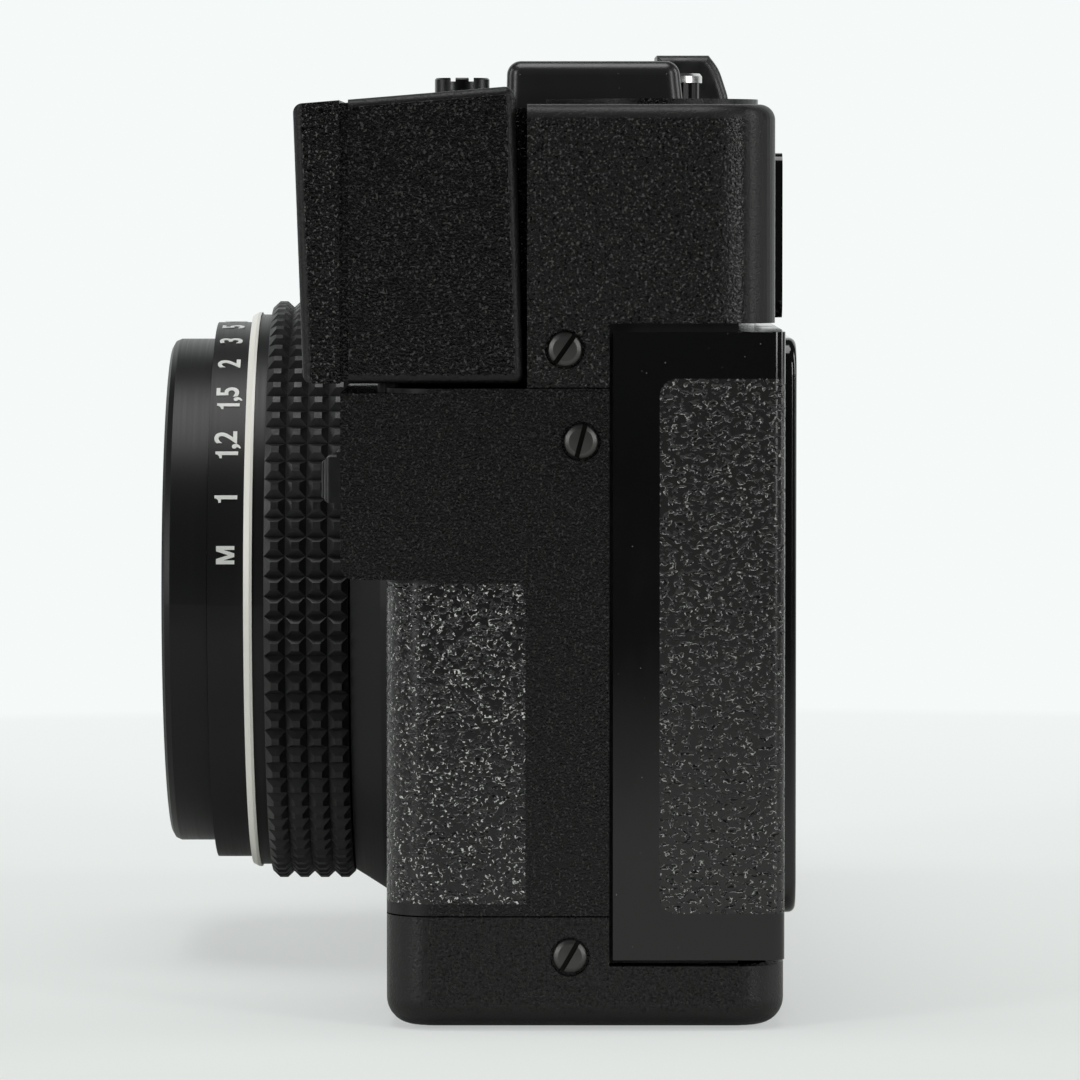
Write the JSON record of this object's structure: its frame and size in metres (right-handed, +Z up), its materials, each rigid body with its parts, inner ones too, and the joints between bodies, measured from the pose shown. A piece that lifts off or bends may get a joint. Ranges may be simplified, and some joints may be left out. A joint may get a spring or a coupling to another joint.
{
  "type": "35 mm film camera",
  "caption": "Compact 35 mm film camera with a hinged back, pop-up flash, focusing lens with waffle grip, advance lever and folding rewind crank.",
  "frame": {"origin": "mouth of the tripod socket, on the base, below the lens axis", "axes": "+Z up, the lens looks along -Y, +X towards the end with the film cartridge and rewind crank"},
  "size_m": [0.13, 0.0544, 0.0813],
  "materials": {
    "crinkle_black": "fine crinkle texture, satin black",
    "gloss_black": "glossy black",
    "leatherette": "pebbled black leatherette",
    "black_metal": "satin black",
    "grip_rubber": "waffle grip",
    "cream_ring": "cream-white",
    "chassis_black": "matt black",
    "foam": "closed-cell foam",
    "bright_metal": "bright",
    "steel": "satin steel",
    "moulded_black": "smooth black",
    "reflector": "bright reflector",
    "clear": "clear"
  },
  "bodies": {
    "body": {"body_shell": "crinkle_black", "film_chassis": "chassis_black", "top_cover": "crinkle_black", "finder_hump": "gloss_black", "bottom_cover": "crinkle_black", "left_front_skin": "leatherette", "right_front_skin": "leatherette", "hinge_pin": "steel", "lens_flange": "black_metal", "finder_window": "clear", "eyepiece_frame": "gloss_black", "eyepiece_lens": "clear", "counter_window": "clear", "button_collar": "black_metal", "tripod_bush": "bright_metal", "bottom_screws": "black_metal", "side_screws": "black_metal"},
    "door": {"back_door": "gloss_black", "door_skin": "leatherette", "door_panel": "gloss_black", "light_seals": "foam", "pressure_spring": "steel"},
    "film_plate": {"pressure_plate": "steel"},
    "latch": {"door_latch": "steel"},
    "flash": {"flash_housing": "crinkle_black", "flash_bezel": "crinkle_black", "flash_window": "clear", "flash_reflector": "reflector", "flash_tube": "clear", "flash_posts": "chassis_black"},
    "flash_slider": {"flash_release": "gloss_black"},
    "focus_ring": {"distance_ring": "black_metal", "white_ring": "cream_ring", "focus_grip": "grip_rubber"},
    "lens_unit": {"front_ring": "black_metal", "trim_ring": "black_metal", "meter_window": "clear", "lens_cell": "black_metal", "front_element": "clear", "rear_element": "clear", "rear_cell": "black_metal", "shutter_plate": "steel"},
    "blade_upper": {"shutter_blade_upper": "steel"},
    "blade_lower": {"shutter_blade_lower": "steel"},
    "rewind_carrier": {"shaft_clip": "steel"},
    "rewind_crank": {"rewind_shaft": "steel", "rewind_disc": "black_metal"},
    "crank_lever": {"crank_arm": "steel"},
    "crank_grip": {"crank_knob": "moulded_black"},
    "advance": {"advance_lever": "steel", "lever_tip": "moulded_black", "lever_cap": "bright_metal"},
    "release_button": {"shutter_button": "black_metal"},
    "setting_dial": {"film_dial": "black_metal", "film_dial_cap": "bright_metal"},
    "film_sprocket": {"sprocket_drum": "steel"},
    "film_spool": {"takeup_spool": "chassis_black"},
    "counter_wheel": {"counter_dial": "steel"},
    "battery_lid": {"battery_cover": "moulded_black"},
    "rewind_button": {"rewind_release": "steel"}
  },
  "joints": [
    {"name": "door_swing", "type": "hinge", "parent": "body", "child": "door", "pos_m": [-0.063, 0.0088, 0.031], "axis": [0, 0, 1], "range_deg": [0, 100]},
    {"name": "film_plate_press", "type": "slide", "parent": "door", "child": "film_plate", "axis": [0, 1, 0], "range_m": [0, 0.0003], "stiffness_N_per_m": 1500, "springref_m": -0.0003},
    {"name": "latch_lift", "type": "slide", "parent": "body", "child": "latch", "axis": [0, 0, 1], "range_m": [0, 0.0018]},
    {"name": "flash_rise", "type": "slide", "parent": "body", "child": "flash", "axis": [0, 0, 1], "range_m": [0, 0.011]},
    {"name": "flash_slide", "type": "slide", "parent": "body", "child": "flash_slider", "axis": [-1, 0, 0], "range_m": [0, 0.003], "stiffness_N_per_m": 150},
    {"name": "focus_turn", "type": "hinge", "parent": "body", "child": "focus_ring", "pos_m": [0, -0.03, 0.0321], "axis": [0, -1, 0], "range_deg": [0, 70]},
    {"name": "lens_travel", "type": "slide", "parent": "body", "child": "lens_unit", "axis": [0, -1, 0], "range_m": [0, 0.0015]},
    {"name": "blade_upper_swing", "type": "hinge", "parent": "lens_unit", "child": "blade_upper", "pos_m": [0.0105, -0.023, 0.0351], "axis": [0, 1, 0], "range_deg": [0, 30], "stiffness_Nm_per_rad": 0.0005},
    {"name": "blade_lower_swing", "type": "hinge", "parent": "lens_unit", "child": "blade_lower", "pos_m": [0.0105, -0.023, 0.0291], "axis": [0, 1, 0], "range_deg": [-30, 0], "stiffness_Nm_per_rad": 0.0005},
    {"name": "rewind_pull", "type": "slide", "parent": "body", "child": "rewind_carrier", "axis": [0, 0, 1], "range_m": [0, 0.009]},
    {"name": "rewind_turn", "type": "hinge", "parent": "rewind_carrier", "child": "rewind_crank", "pos_m": [0.049, -0.0015, 0.074], "axis": [0, 0, 1], "continuous": true},
    {"name": "crank_fold", "type": "hinge", "parent": "rewind_crank", "child": "crank_lever", "pos_m": [0.049, -0.0062, 0.07528], "axis": [1, 0, 0], "range_deg": [0, 118]},
    {"name": "knob_spin", "type": "hinge", "parent": "crank_lever", "child": "crank_grip", "pos_m": [0.049, 0.0024, 0.07395], "axis": [0, 0, 1], "continuous": true},
    {"name": "film_advance", "type": "hinge", "parent": "body", "child": "advance", "pos_m": [-0.049, -0.004, 0.076], "axis": [0, 0, 1], "range_deg": [0, 130], "stiffness_Nm_per_rad": 0.01},
    {"name": "shutter_press", "type": "slide", "parent": "body", "child": "release_button", "axis": [0, 0, -1], "range_m": [0, 0.0012], "stiffness_N_per_m": 400},
    {"name": "setting_turn", "type": "hinge", "parent": "body", "child": "setting_dial", "pos_m": [-0.005, 0.0009, 0.077], "axis": [0, 0, 1], "range_deg": [0, 150]},
    {"name": "sprocket_spin", "type": "hinge", "parent": "body", "child": "film_sprocket", "pos_m": [-0.026, 0.0015, 0.0321], "axis": [0, 0, 1], "continuous": true},
    {"name": "spool_spin", "type": "hinge", "parent": "body", "child": "film_spool", "pos_m": [-0.0465, -0.0015, 0.0321], "axis": [0, 0, 1], "continuous": true},
    {"name": "counter_spin", "type": "hinge", "parent": "body", "child": "counter_wheel", "pos_m": [-0.024, 0, 0.073], "axis": [0, 0, 1], "continuous": true},
    {"name": "battery_lid_slide", "type": "slide", "parent": "body", "child": "battery_lid", "axis": [1, 0, 0], "range_m": [0, 0.005]},
    {"name": "rewind_button_press", "type": "slide", "parent": "body", "child": "rewind_button", "axis": [0, 0, 1], "range_m": [0, 0.0012], "stiffness_N_per_m": 300}
  ],
  "couplings": [
    {"joint": "lens_travel", "follows": "focus_turn", "m_per_rad": 0.0012278},
    {"joint": "blade_lower_swing", "follows": "blade_upper_swing", "ratio": -1},
    {"joint": "latch_lift", "follows": "rewind_pull", "ratio": 0.2},
    {"joint": "spool_spin", "follows": "sprocket_spin", "ratio": 0.8333},
    {"joint": "counter_spin", "follows": "sprocket_spin", "ratio": 0.025}
  ]
}
